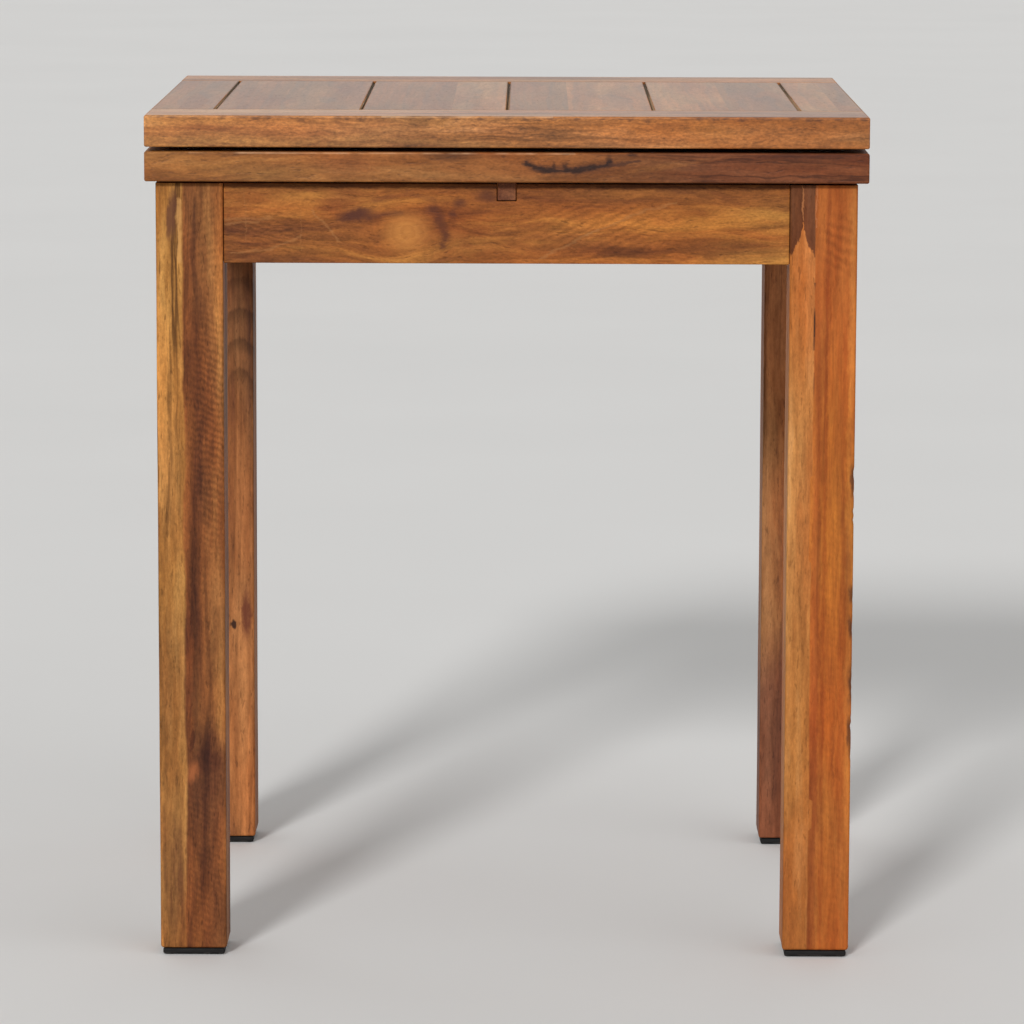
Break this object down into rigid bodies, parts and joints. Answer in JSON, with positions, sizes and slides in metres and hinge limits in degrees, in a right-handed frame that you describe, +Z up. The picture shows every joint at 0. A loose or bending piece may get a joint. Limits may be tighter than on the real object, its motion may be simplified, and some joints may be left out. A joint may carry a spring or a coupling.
{
  "type": "extending dining table",
  "caption": "Square-legged wooden dining table whose double planked top slides forward on a runner and folds open on rear hinges to twice its depth.",
  "frame": {"origin": "on the floor, in the middle of the closed table's plan", "axes": "+Z up, -Y towards the front where the runner's end shows and the top slides out, +X to the right seen from the front"},
  "size_m": [0.64, 0.564, 0.76],
  "materials": {
    "frame_wood": "honey brown, satin lacquer, lively grain",
    "top_wood": "honey brown, satin lacquer, glued boards",
    "black_pad": "matt black",
    "zinc_steel": "zinc plated",
    "brass": "satin",
    "felt": "brown felt"
  },
  "bodies": {
    "base": {"centre_bearer": "frame_wood", "front_apron": "frame_wood", "front_left_brace": "frame_wood", "front_left_foot": "black_pad", "front_left_leg": "frame_wood", "front_left_leg_bolt": "zinc_steel", "front_right_brace": "frame_wood", "front_right_foot": "black_pad", "front_right_leg": "frame_wood", "front_right_leg_bolt": "zinc_steel", "left_apron": "frame_wood", "rear_apron": "frame_wood", "rear_left_brace": "frame_wood", "rear_left_foot": "black_pad", "rear_left_leg": "frame_wood", "rear_left_leg_bolt": "zinc_steel", "rear_right_brace": "frame_wood", "rear_right_foot": "black_pad", "rear_right_leg": "frame_wood", "rear_right_leg_bolt": "zinc_steel", "right_apron": "frame_wood"},
    "sliding_top": {"front_left_clip": "zinc_steel", "front_right_clip": "zinc_steel", "left_bumper": "felt", "left_glide_strip": "felt", "left_hinge_fixed_plate": "brass", "left_hinge_fixed_screw_1": "brass", "left_hinge_fixed_screw_2": "brass", "left_hinge_pin": "brass", "lower_leaf_board_1": "top_wood", "lower_leaf_board_2": "top_wood", "lower_leaf_board_3": "top_wood", "lower_leaf_board_4": "top_wood", "lower_leaf_board_5": "top_wood", "lower_leaf_board_6": "top_wood", "lower_leaf_front_rail": "top_wood", "lower_leaf_rear_rail": "top_wood", "rear_left_clip": "zinc_steel", "rear_right_clip": "zinc_steel", "right_bumper": "felt", "right_glide_strip": "felt", "right_hinge_fixed_plate": "brass", "right_hinge_fixed_screw_1": "brass", "right_hinge_fixed_screw_2": "brass", "right_hinge_pin": "brass", "runner": "frame_wood"},
    "folding_leaf": {"left_hinge_turning_plate": "brass", "left_hinge_turning_screw_1": "brass", "left_hinge_turning_screw_2": "brass", "right_hinge_turning_plate": "brass", "right_hinge_turning_screw_1": "brass", "right_hinge_turning_screw_2": "brass", "upper_leaf_board_1": "top_wood", "upper_leaf_board_2": "top_wood", "upper_leaf_board_3": "top_wood", "upper_leaf_board_4": "top_wood", "upper_leaf_board_5": "top_wood", "upper_leaf_board_6": "top_wood", "upper_leaf_front_rail": "top_wood", "upper_leaf_rear_rail": "top_wood"}
  },
  "joints": [
    {"name": "top_slide", "type": "slide", "parent": "base", "child": "sliding_top", "axis": [0, -1, 0], "range_m": [0, 0.28]},
    {"name": "leaf_fold", "type": "hinge", "parent": "sliding_top", "child": "folding_leaf", "pos_m": [0, 0.2805, 0.73], "axis": [-1, 0, 0], "range_deg": [0, 180]}
  ]
}
